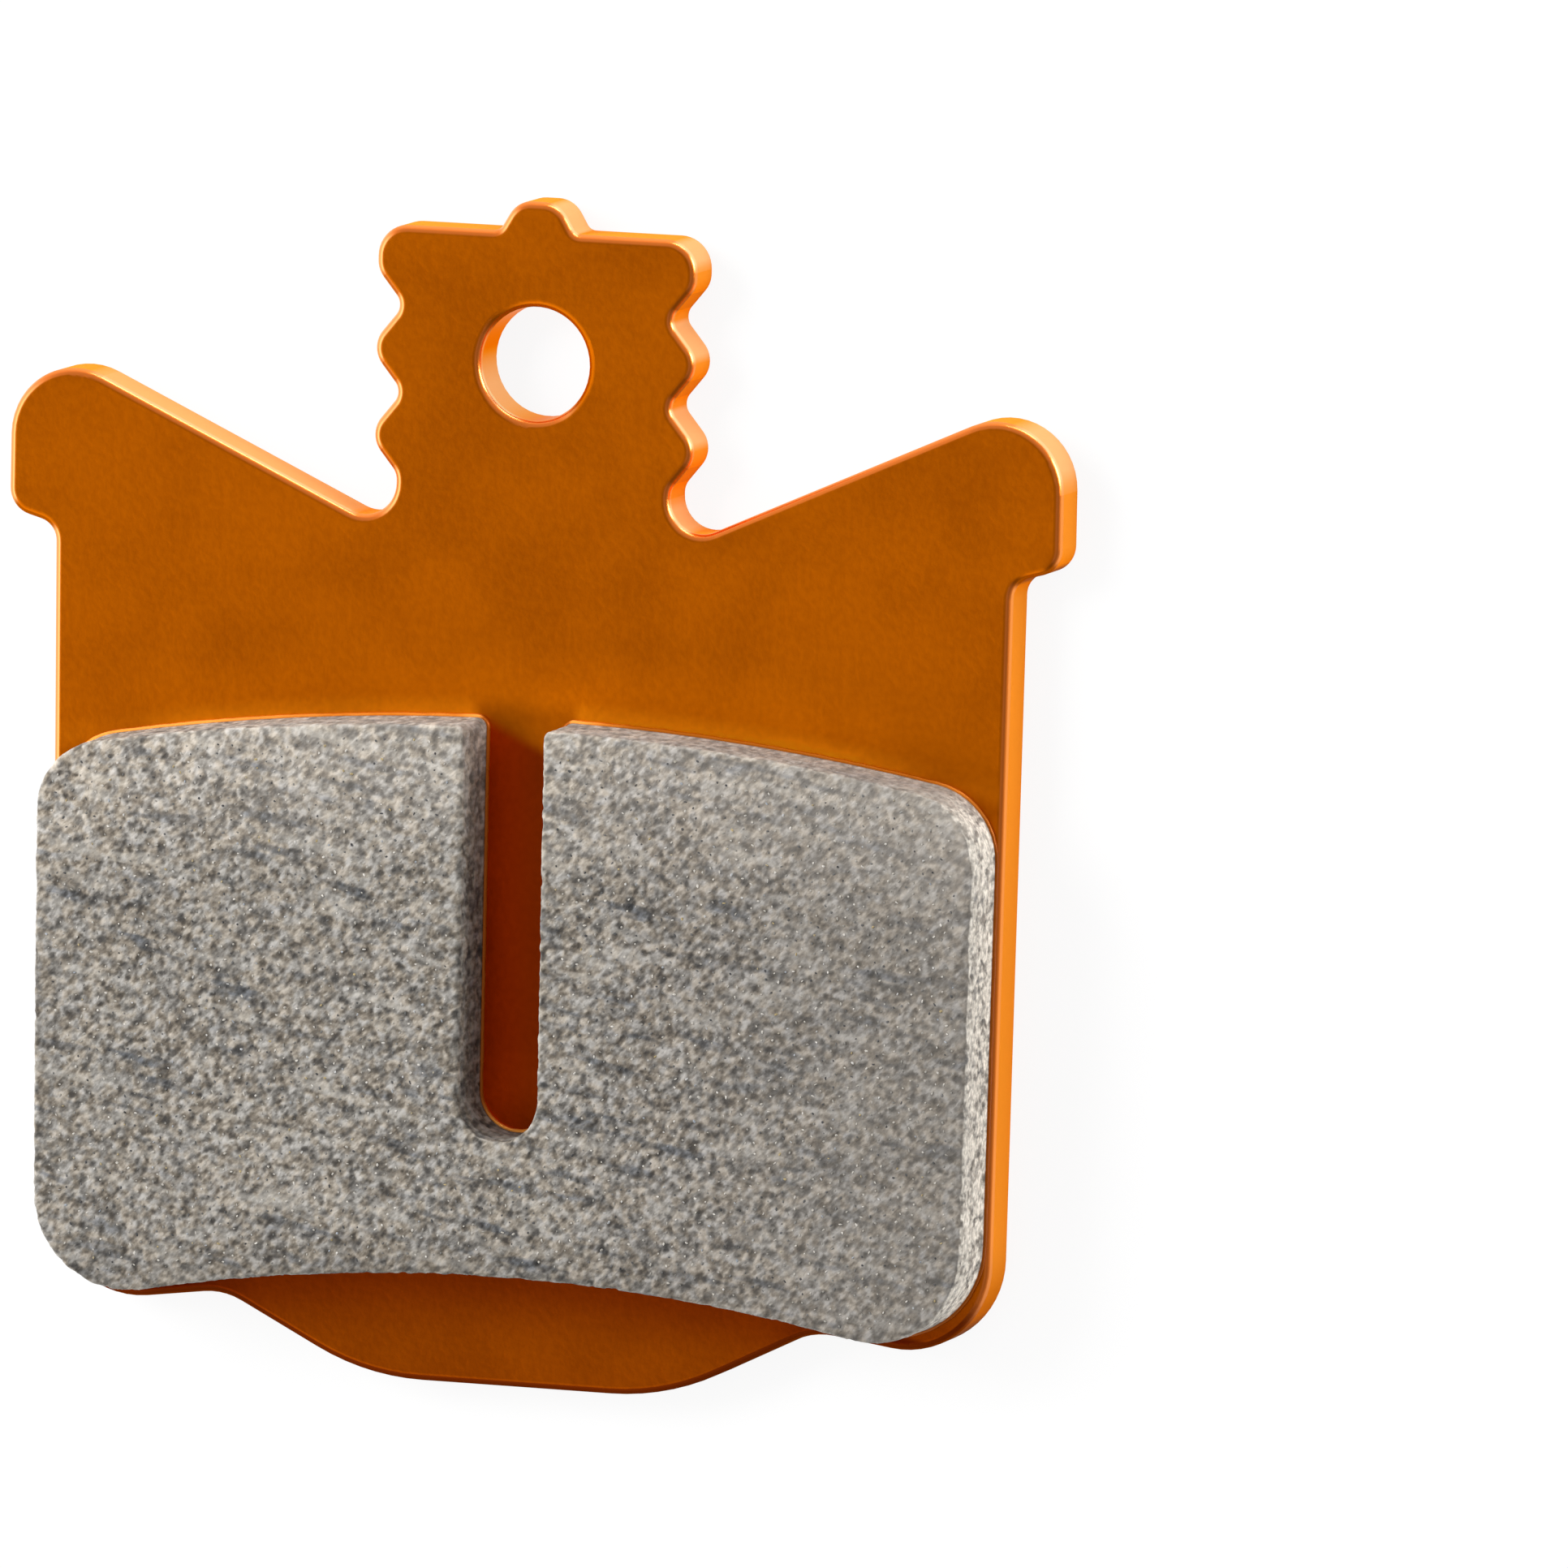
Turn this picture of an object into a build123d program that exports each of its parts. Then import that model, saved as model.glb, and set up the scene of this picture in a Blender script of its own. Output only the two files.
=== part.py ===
from build123d import *
import os
from math import asin, atan2, cos, degrees, hypot, radians, sqrt, tan

# Bicycle disc brake pad: a stamped steel backing plate with a pin tab and two ears,
# a thin bond layer, and a slotted lining that rubs on the rotor.
# Millimetres and degrees. The pad lies on the back of its plate, with +Z towards the
# rubbing face and +Y towards the pin. Heights in the sketches are measured from the pin.

# Backing plate
plate_thickness = 1.8
edge_roll = 0.3  # front edge rounded by the stamping punch
bore_diameter = 4.1  # runs on a 4 mm pad pin
tab_top_above_pin = 4.75

# Nub on top of the tab
nub_height = 1.1
nub_width = 2.9  # at its foot
nub_top_width = 1.6
nub_radius = 1.0
nub_foot_radius = 0.4

# Scalloped sides of the tab
tab_width = 12.15  # over the crests
tab_corner_radius = 1.15
scallop_count = 2
scallop_pitch = 3.15
scallop_depth = 0.85
first_scallop = 2.9  # below the top of the tab
crest_radius = 0.95
valley_radius = 0.55

# Notch between the tab and the ear, and the ear itself
neck_radius = 0.7
neck_length = 0.1  # straight stretch above the notch
notch_radius = 1.2
slope_angle = 24.4  # top of the ear, above the horizontal
ear_span = 40.1
ear_radius = 2.5
ear_depth = 6.6  # sharp upper corner to sharp lower corner
ear_foot_radius = 1.0
ledge_drop = 0.5
shoulder_radius = 0.8

# Body below the ears
shoulder_width = 36.5
base_width = 35.9
corner_radius = 3.3
corner_margin = 0.1  # sharp plate corner below the sharp lining corner
dip_width = 22.6  # between the dips beside the bulge
dip_margin = 0.6  # plate below the lining at the dips
dip_radius = 2.5
bulge_drop = 2.78
bulge_width = 11.5  # between the sharp corners of the bulge
bulge_radius = 9.0

# Lining, a sector of the rotor's brake track
rotor_to_pin = 100.6
track_outer_radius = 87.75
lining_height = 20.0
lining_thickness = 2.45
lining_inset = 0.25  # inside the plate's sides
lining_top_radius = 2.7
lining_bottom_radius = 3.5
lining_edge_radius = 0.2
slot_width = 2.95
slot_depth = 15.0
slot_mouth_radius = 0.35

# Bond layer under the lining
bond_thickness = 0.15
bond_margin = 0.1  # shows around the foot of the lining

# Flank angle of the scallops, from the vertical, that gives the depth after rounding
half_pitch = scallop_pitch / 2
radius_sum = crest_radius + valley_radius
flank_reach = hypot(half_pitch, radius_sum - scallop_depth)
flank = asin(radius_sum / flank_reach) - atan2(radius_sum - scallop_depth, half_pitch)
corner_cut = 1 / cos(flank) - 1
crest_x = tab_width / 2 + crest_radius * corner_cut
valley_x = tab_width / 2 - scallop_depth - valley_radius * corner_cut

# Heights of the tab, the notch and the ear
nub_top_y = tab_top_above_pin + nub_height
first_valley_y = tab_top_above_pin - first_scallop
lobe_y = first_valley_y + (tab_width / 2 - valley_x) / tan(flank)
last_crest_y = first_valley_y - (scallop_count - 0.5) * scallop_pitch
neck_x = tab_width / 2 - scallop_depth
neck_y = last_crest_y - (crest_x - neck_x) / tan(flank)
neck_tangent = neck_radius * tan(flank / 2)
notch_tangent = notch_radius * tan(radians(90 + slope_angle) / 2)
notch_y = neck_y - neck_tangent - neck_length - notch_tangent
ear_y = notch_y + (ear_span / 2 - neck_x) * tan(radians(slope_angle))
ledge_y = ear_y - ear_depth
shoulder_y = ledge_y - ledge_drop

# Heights of the lining and of the plate below it
track_inner_radius = track_outer_radius - lining_height
lining_top_y = track_outer_radius - rotor_to_pin
lining_base_half = base_width / 2 - lining_inset
lining_corner_y = sqrt(track_inner_radius**2 - lining_base_half**2) - rotor_to_pin
corner_y = lining_corner_y - corner_margin
dip_y = sqrt(track_inner_radius**2 - (dip_width / 2) ** 2) - rotor_to_pin - dip_margin
bottom_y = dip_y - bulge_drop

# The frame's origin is under the middle of the plate, on its back face
pin_y = -(nub_top_y + bottom_y) / 2


def pad_plane(height):
    """Plane parallel to the plate at a height above its back, with its origin on the pin's axis."""
    return Plane((0, pin_y, height))


def side_x(y):
    """Half the width of the body at a height measured from the pin."""
    share = (shoulder_y - y) / (shoulder_y - corner_y)
    return (shoulder_width + (base_width - shoulder_width) * share) / 2


# Right half of the plate's outline, from the nub to the bulge: sharp corners and their radii
corners = [
    ((nub_top_width / 2, nub_top_y), nub_radius),
    ((nub_width / 2, tab_top_above_pin), nub_foot_radius),
    ((tab_width / 2, tab_top_above_pin), tab_corner_radius),
    ((tab_width / 2, lobe_y), crest_radius),
]
for scallop in range(scallop_count):
    valley_y = first_valley_y - scallop * scallop_pitch
    corners.append(((valley_x, valley_y), valley_radius))
    corners.append(((crest_x, valley_y - half_pitch), crest_radius))
corners += [
    ((neck_x, neck_y), neck_radius),
    ((neck_x, notch_y), notch_radius),
    ((ear_span / 2, ear_y), ear_radius),
    ((ear_span / 2, ledge_y), ear_foot_radius),
    ((shoulder_width / 2, shoulder_y), shoulder_radius),
    ((base_width / 2, corner_y), corner_radius),
    ((dip_width / 2, dip_y), dip_radius),
    ((bulge_width / 2, bottom_y), bulge_radius),
]
outline_points = [(0, nub_top_y)] + [point for point, radius in corners] + [(0, bottom_y)]
outline_radii = [radius for point, radius in corners]

# Backing plate: the stamped blank, its pin bore and its rolled front edges
with BuildPart() as backing_plate:
    with BuildSketch(pad_plane(0)):
        with BuildLine():
            FilletPolyline(*outline_points, radius=outline_radii)
            mirror(about=Plane.YZ)
        make_face()
        Circle(bore_diameter / 2, mode=Mode.SUBTRACT)
    extrude(amount=plate_thickness)
    front_face = backing_plate.faces().sort_by(Axis.Z)[-1]
    fillet(front_face.edges(), radius=edge_roll)
backing_plate.part.label = "backing_plate"

# Outline of the lining: the brake track between the two sides, with a slot open at the top
with BuildSketch() as lining_outline:
    with Locations((0, -rotor_to_pin)):
        Circle(track_outer_radius)
        Circle(track_inner_radius, mode=Mode.SUBTRACT)
    Polygon(
        (-side_x(shoulder_y) + lining_inset, shoulder_y),
        (-side_x(bottom_y) + lining_inset, bottom_y),
        (side_x(bottom_y) - lining_inset, bottom_y),
        (side_x(shoulder_y) - lining_inset, shoulder_y),
        align=None,
        mode=Mode.INTERSECT,
    )
    fillet(lining_outline.vertices().group_by(Axis.Y)[-1], radius=lining_top_radius)
    fillet(lining_outline.vertices().group_by(Axis.Y)[0], radius=lining_bottom_radius)
    slot_end_y = lining_top_y - slot_depth + slot_width / 2
    with Locations((0, slot_end_y)):
        Circle(slot_width / 2, mode=Mode.SUBTRACT)
        Rectangle(
            slot_width,
            slot_depth,
            align=(Align.CENTER, Align.MIN),
            mode=Mode.SUBTRACT,
        )
    fillet(lining_outline.vertices().group_by(Axis.Y)[-1], radius=slot_mouth_radius)

# Bond layer: a thin skin on the plate, a little wider than the lining all round
with BuildPart() as bond_layer:
    with BuildSketch(pad_plane(plate_thickness)):
        add(lining_outline.sketch)
        offset(amount=bond_margin)
    extrude(amount=bond_thickness)
bond_layer.part.label = "bond_layer"

# Friction lining: the sintered block, with the edges of its rubbing face eased
with BuildPart() as friction_lining:
    with BuildSketch(pad_plane(plate_thickness + bond_thickness)):
        add(lining_outline.sketch)
    extrude(amount=lining_thickness)
    rubbing_face = friction_lining.faces().sort_by(Axis.Z)[-1]
    fillet(rubbing_face.edges(), radius=lining_edge_radius)
friction_lining.part.label = "friction_lining"

os.makedirs("parts", exist_ok=True)
for piece in (backing_plate, bond_layer, friction_lining):
    export_step(piece.part, f"parts/{piece.part.label}.step")
    size = piece.part.bounding_box().size
    print(f"{piece.part.label}: {size.X:.2f} x {size.Y:.2f} x {size.Z:.2f} mm")
print(f"pin at y {pin_y:.3f}, flank angle {degrees(flank):.1f}, ear corner {ear_y:.2f} above the pin")
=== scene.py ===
"""Bicycle disc brake pad: finishes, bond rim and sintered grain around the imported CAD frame.

The pad lies on the back of its plate, with its rubbing face up. The plate keeps its CAD mesh. The bond
layer and the lining are modelled again on their own CAD outlines, because the rim of the one and the
grain of the other are finer than the solids. Lengths are in metres, in the frame of the CAD model.
"""

import logging
import math
from dataclasses import dataclass, field
from enum import Enum
from functools import cached_property
from typing import Any, Dict, List, NamedTuple, Optional, Sequence, Tuple, Union

import bmesh
import bpy
import numpy as np
from bpy.types import ColorRamp, Material, Mesh, Node, NodeSocket, NodeTree, Object
from mathutils import Matrix, Vector, kdtree
from mathutils.geometry import delaunay_2d_cdt


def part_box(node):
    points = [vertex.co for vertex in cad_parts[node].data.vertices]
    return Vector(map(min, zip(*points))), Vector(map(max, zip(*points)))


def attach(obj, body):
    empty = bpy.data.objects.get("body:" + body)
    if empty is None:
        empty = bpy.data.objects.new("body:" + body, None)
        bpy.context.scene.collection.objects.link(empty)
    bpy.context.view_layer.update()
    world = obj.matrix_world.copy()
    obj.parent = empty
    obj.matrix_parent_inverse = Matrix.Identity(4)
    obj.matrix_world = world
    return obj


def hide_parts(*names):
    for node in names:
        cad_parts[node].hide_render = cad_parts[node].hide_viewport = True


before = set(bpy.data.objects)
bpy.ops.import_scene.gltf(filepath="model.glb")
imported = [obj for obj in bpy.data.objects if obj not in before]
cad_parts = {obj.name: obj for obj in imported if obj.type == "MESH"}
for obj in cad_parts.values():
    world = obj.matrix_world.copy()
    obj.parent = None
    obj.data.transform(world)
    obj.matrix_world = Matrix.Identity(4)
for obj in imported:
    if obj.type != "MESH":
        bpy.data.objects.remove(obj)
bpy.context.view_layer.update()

LOG = logging.getLogger("brake_pad")
MM = 0.001
IMAGE_SIZE = 1932
BODY = "root"
CROWN_RADIUS = 87.75 * MM
FOOT_RADIUS = 67.75 * MM
WELD_DISTANCE = 0.0005 * MM
DOWNWARD_Z = -0.9
MESH_EPSILON = 1e-9
FILL_INSIDE = 1

Triple = Tuple[float, float, float]
Colour = Triple
Span = Tuple[float, float]
Stops = Sequence[Tuple[float, Colour]]


class CadNode(Enum):
    """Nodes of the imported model."""

    PLATE = "backing_plate"
    BOND = "bond_layer"
    LINING = "friction_lining"


class Slot(Enum):
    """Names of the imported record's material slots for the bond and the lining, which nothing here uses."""

    BOND = "bond"
    SINTER = "sintered_lining"


def mm_span(low: float, high: float) -> Span:
    """A stretch given in millimetres, in metres."""
    return low * MM, high * MM


def show(thing: Object) -> None:
    """Links an object to the scene."""
    bpy.context.scene.collection.objects.link(thing)


class Wire:
    """An output socket that takes part in Python arithmetic: each operator adds one Math node."""

    def __init__(self, bench: "Bench", socket: NodeSocket) -> None:
        """Keeps the socket and the bench that its Math nodes go on."""
        self.bench = bench
        self.socket = socket

    def _math(self, operation: str, first: "Value", second: "Value") -> "Wire":
        """Adds a Math node for two values and returns its result."""
        return self.bench.node("ShaderNodeMath", {"operation": operation}, {0: first, 1: second}).out()

    def __add__(self, other: "Value") -> "Wire":
        """Sum of two values."""
        return self._math("ADD", self, other)

    def __sub__(self, other: "Value") -> "Wire":
        """Difference of two values."""
        return self._math("SUBTRACT", self, other)

    def __rsub__(self, other: "Value") -> "Wire":
        """Difference from a number."""
        return self._math("SUBTRACT", other, self)

    def __mul__(self, other: "Value") -> "Wire":
        """Product of two values."""
        return self._math("MULTIPLY", self, other)

    def __pow__(self, other: "Value") -> "Wire":
        """This value to a power."""
        return self._math("POWER", self, other)

    def __abs__(self) -> "Wire":
        """Size of this value without its sign."""
        return self._math("ABSOLUTE", self, 0.0)

    def __rtruediv__(self, other: float) -> "Wire":
        """A number divided by this value."""
        return self._math("DIVIDE", other, self)

    __radd__ = __add__
    __rmul__ = __mul__

    def cap(self, top: "Value") -> "Wire":
        """The smaller of this value and another."""
        return self._math("MINIMUM", self, top)

    def step(self, low: float, high: float) -> "Wire":
        """Smooth step from 0 at low to 1 at high."""
        settings = {"interpolation_type": "SMOOTHSTEP"}
        return self.bench.node("ShaderNodeMapRange", settings, {0: self, 1: low, 2: high}).out()

    def fall(self, low: float, high: float) -> "Wire":
        """Smooth step from 1 at low to 0 at high."""
        return 1.0 - self.step(low, high)

    def between(self, start: "Value", end: "Value") -> "Wire":
        """The value that lies at this share of the way from start to end."""
        return start + self * (end - start)


Value = Union[float, Wire]


class Placed:
    """A node on a bench, whose outputs are read by name or number."""

    def __init__(self, bench: "Bench", node: Node) -> None:
        """Keeps the node and its bench."""
        self.bench = bench
        self.node = node

    def out(self, key: Union[int, str] = 0) -> Wire:
        """The output socket of that name or number."""
        return Wire(self.bench, self.bench.find(self.node.outputs, key))


class Bench:
    """A node tree in the making."""

    def __init__(self, tree: NodeTree) -> None:
        """Starts on an empty tree."""
        self.tree = tree
        self.tree.nodes.clear()

    @staticmethod
    def find(sockets: Any, key: Union[int, str]) -> NodeSocket:
        """Finds a socket among a node's inputs or outputs.

        Args:
            sockets: The inputs or the outputs of a node.
            key: The socket's number, identifier or name.

        Returns:
            The socket, which is one in use where several share a name.
        """
        if isinstance(key, int):
            return sockets[key]
        named = [s for s in sockets if key in (s.identifier, s.name) and s.enabled]
        return named[0]

    def node(
        self,
        kind: str,
        settings: Optional[Dict[str, Any]] = None,
        inputs: Optional[Dict[Union[int, str], Any]] = None,
    ) -> Placed:
        """Adds a node.

        Args:
            kind: Blender's type name of the node.
            settings: Properties of the node, set before its sockets. "stops" holds a ramp's stops.
            inputs: Values or wires for its input sockets, by number or name.

        Returns:
            The node, ready to give its outputs.
        """
        made = self.tree.nodes.new(kind)
        for name, value in (settings or {}).items():
            if name == "stops":
                self._set_stops(made.color_ramp, value)
            else:
                setattr(made, name, value)
        for key, value in (inputs or {}).items():
            socket = self.find(made.inputs, key)
            if isinstance(value, Wire):
                self.tree.links.new(value.socket, socket)
            else:
                socket.default_value = value
        return Placed(self, made)

    @staticmethod
    def _set_stops(ramp: ColorRamp, stops: Stops) -> None:
        """Gives a colour ramp its stops.

        Args:
            ramp: The ramp of a new node.
            stops: Places and their colours, in order.
        """
        while len(ramp.elements) < len(stops):
            ramp.elements.new(1.0)
        for element, (place, colour) in zip(ramp.elements, stops):
            element.position = place
            element.color = (*colour, 1.0)

    def vector(self, operation: str, first: Any, second: Any) -> Wire:
        """Adds a Vector Math node for two vectors and returns its result."""
        return self.node("ShaderNodeVectorMath", {"operation": operation}, {0: first, 1: second}).out()

    def scaled(self, vector: Wire, share: Value) -> Wire:
        """A vector times a number."""
        settings = {"operation": "SCALE"}
        return self.node("ShaderNodeVectorMath", settings, {"Vector": vector, "Scale": share}).out()

    def parts(self, vector: Wire) -> Tuple[Wire, Wire, Wire]:
        """The X, Y and Z of a vector."""
        split = self.node("ShaderNodeSeparateXYZ", None, {0: vector})
        return split.out("X"), split.out("Y"), split.out("Z")

    def noise(self, point: Wire, size: Value, detail: float = 2.0, seed: Value = 0.0) -> Wire:
        """Soft noise about 0.5: size is the length of one feature, and seed picks one field of noise."""
        inputs = {"Vector": point, "W": seed, "Scale": 1.0 / size, "Detail": detail}
        return self.node("ShaderNodeTexNoise", {"noise_dimensions": "4D"}, inputs).out()

    def mix(self, share: Value, first: Any, second: Any, blend: str = "MIX") -> Wire:
        """Mixes two colours.

        Args:
            share: Share of the second colour, from 0 to 1.
            first: Colour or wire.
            second: Colour or wire.
            blend: Blender's name of the way that they are mixed.

        Returns:
            The mixed colour.
        """
        ends = [c if isinstance(c, Wire) else (*c, 1.0) for c in (first, second)]
        inputs = {"Factor_Float": share, "A_Color": ends[0], "B_Color": ends[1]}
        settings = {"data_type": "RGBA", "blend_type": blend}
        return self.node("ShaderNodeMix", settings, inputs).out("Result_Color")


@dataclass(frozen=True)
class Speckle:
    """A recipe for noise in a finish.

    Size is the length of one feature, detail its octaves, and seed picks one field of noise. Squeeze packs
    the pattern along each axis, so a small number draws it out. Span is the range that becomes 0 to 1.
    """

    size: float
    detail: float = 2.0
    seed: float = 0.0
    squeeze: Optional[Triple] = None
    span: Optional[Span] = None


class Paint(Bench):
    """A material in the making."""

    def __init__(self, name: str) -> None:
        """Makes the material and its empty tree.

        Args:
            name: Name of the material.
        """
        self.material = bpy.data.materials.new(name)
        self.material.use_nodes = True
        super().__init__(self.material.node_tree)

    @cached_property
    def point(self) -> Wire:
        """Object coordinates."""
        return self.node("ShaderNodeTexCoord").out("Object")

    @cached_property
    def place(self) -> Tuple[Wire, Wire, Wire]:
        """Object coordinates across, along and up."""
        return self.parts(self.point)

    @cached_property
    def facing(self) -> Tuple[Wire, Wire, Wire]:
        """How far the surface faces right, along and up."""
        return self.parts(self.node("ShaderNodeTexCoord").out("Normal"))

    def attribute(self, name: str) -> Wire:
        """A number that the mesh carries."""
        return self.node("ShaderNodeAttribute", {"attribute_name": name}).out("Fac")

    def turned(self, angle: float) -> Wire:
        """Object coordinates turned so that a pattern drawn out along X lies at an angle."""
        inputs = {"Vector": self.point, "Rotation": (0.0, 0.0, -angle)}
        return self.node("ShaderNodeMapping", None, inputs).out()

    def speckle(self, recipe: Speckle, turned: Optional[Wire] = None) -> Wire:
        """Adds noise by a recipe.

        Args:
            recipe: What the noise is like.
            turned: Where the noise is read, if not at the object coordinates.

        Returns:
            The noise, from 0 to 1 where the recipe has a span.
        """
        point = self.point if turned is None else turned
        if recipe.squeeze is not None:
            point = self.vector("MULTIPLY", point, recipe.squeeze)
        noise = self.noise(point, recipe.size, recipe.detail, recipe.seed)
        return noise if recipe.span is None else noise.step(*recipe.span)

    def ramp(self, stops: Stops, value: Wire) -> Wire:
        """The colour of a ramp at a value."""
        return self.node("ShaderNodeValToRGB", {"stops": stops}, {0: value}).out("Color")

    def bump(self, height: Wire, distance: float) -> Wire:
        """A normal that follows a height between 0 and 1, over a distance in metres."""
        inputs = {"Height": height, "Distance": distance, "Strength": 1.0}
        return self.node("ShaderNodeBump", None, inputs).out()

    def finish(self, inputs: Dict[str, Any]) -> Material:
        """Adds the Principled shader with its inputs and returns the material."""
        shader = self.node("ShaderNodeBsdfPrincipled", None, inputs)
        return self.surface(shader.out())

    def surface(self, shader: Wire) -> Material:
        """Links a shader to the material's output and returns the material."""
        self.node("ShaderNodeOutputMaterial", None, {"Surface": shader})
        return self.material


class GeoTree(Bench):
    """A Geometry Nodes tree with named inputs."""

    def __init__(self, name: str) -> None:
        """Makes the tree with a geometry input and output.

        Args:
            name: Name of the tree.
        """
        super().__init__(bpy.data.node_groups.new(name, "GeometryNodeTree"))
        self.sockets: Dict[str, Union[int, float]] = {}
        for way in ("INPUT", "OUTPUT"):
            self.tree.interface.new_socket("Geometry", in_out=way, socket_type="NodeSocketGeometry")
        self.entry = self.node("NodeGroupInput")

    def geometry(self) -> Wire:
        """The mesh that comes in."""
        return self.entry.out("Geometry")

    def number(self, name: str, value: Union[int, float]) -> Wire:
        """Adds a named input and notes the value that the modifier gives it.

        Args:
            name: Name of the input.
            value: Its value. A whole number makes an input for whole numbers.

        Returns:
            The input, for use in the tree.
        """
        kind = "NodeSocketInt" if isinstance(value, int) else "NodeSocketFloat"
        made = self.tree.interface.new_socket(name, in_out="INPUT", socket_type=kind)
        self.sockets[made.identifier] = value
        return self.entry.out(made.identifier)

    def store(self, geometry: Wire, name: str, value: Wire, domain: str = "POINT") -> Wire:
        """Keeps a value on the geometry, for the material to read.

        Args:
            geometry: What carries the value.
            name: Name of the attribute.
            value: The value.
            domain: Blender's name of what each value belongs to.

        Returns:
            The geometry with the attribute.
        """
        settings = {"data_type": "FLOAT", "domain": domain}
        inputs = {"Geometry": geometry, "Name": name, "Value": value}
        return self.node("GeometryNodeStoreNamedAttribute", settings, inputs).out("Geometry")

    def read(self, name: str) -> Wire:
        """A number that the mesh carries."""
        settings = {"data_type": "FLOAT"}
        return self.node("GeometryNodeInputNamedAttribute", settings, {"Name": name}).out("Attribute")

    def position(self) -> Wire:
        """Where each point lies."""
        return self.node("GeometryNodeInputPosition").out()

    def random(self, low: Triple, high: Triple, seed: Wire) -> Wire:
        """A random vector between two others."""
        settings, inputs = {"data_type": "FLOAT_VECTOR"}, {"Min": low, "Max": high, "Seed": seed}
        return self.node("FunctionNodeRandomValue", settings, inputs).out("Value")

    def pushed(self, offset: Wire) -> Wire:
        """The mesh that comes in, with its points moved by an offset and its shading smooth."""
        moved = self.node("GeometryNodeSetPosition", None, {"Geometry": self.geometry(), "Offset": offset})
        return self.node("GeometryNodeSetShadeSmooth", None, {"Geometry": moved.out()}).out()

    def capped(self, geometry: Wire, top: Wire) -> Wire:
        """Lowers to a height all that stands above it.

        Args:
            geometry: A mesh.
            top: The height.

        Returns:
            The mesh, with nothing above the height.
        """
        across, along, height = self.parts(self.position())
        inputs = {"X": across, "Y": along, "Z": height.cap(top)}
        lowered = self.node("ShaderNodeCombineXYZ", None, inputs).out()
        return self.node("GeometryNodeSetPosition", None, {"Geometry": geometry, "Position": lowered}).out()

    def run(self, geometry: Wire, material: Material, start: Mesh) -> Mesh:
        """Ends the tree, runs it on a mesh and returns the result as a plain mesh.

        Args:
            geometry: What the tree has made.
            material: The finish of all its faces.
            start: The mesh that goes in.

        Returns:
            A new mesh with the tree's attributes on it.
        """
        real = self.node("GeometryNodeRealizeInstances", None, {"Geometry": geometry}).out()
        inputs = {"Geometry": real, "Material": material}
        dressed = self.node("GeometryNodeSetMaterial", None, inputs).out()
        self.node("NodeGroupOutput", None, {0: dressed})
        carrier = bpy.data.objects.new(self.tree.name, start)
        show(carrier)
        modifier = carrier.modifiers.new(self.tree.name, "NODES")
        modifier.node_group = self.tree
        for identifier, value in self.sockets.items():
            modifier[identifier] = value
        depsgraph = bpy.context.evaluated_depsgraph_get()
        grown = carrier.evaluated_get(depsgraph)
        mesh = bpy.data.meshes.new_from_object(grown, preserve_all_data_layers=True, depsgraph=depsgraph)
        carrier.modifiers.remove(modifier)
        bpy.data.objects.remove(carrier)
        return mesh


def arc_height(across: Wire, along: Wire, radius: float) -> Wire:
    """Height along the plate, corrected so that it is the same all along an arc about the rotor's axis."""
    return along + across * across * (0.5 / radius)


class BareEdges(NamedTuple):
    """How the plate's bare edges look: two colours, and shares of dull edge in painted shade, of wide edge
    with a painted highlight and of low edge in painted shade.
    """

    rolls: Wire
    sheared: Wire
    dark: Wire
    wide: Wire
    foot: Wire


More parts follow.
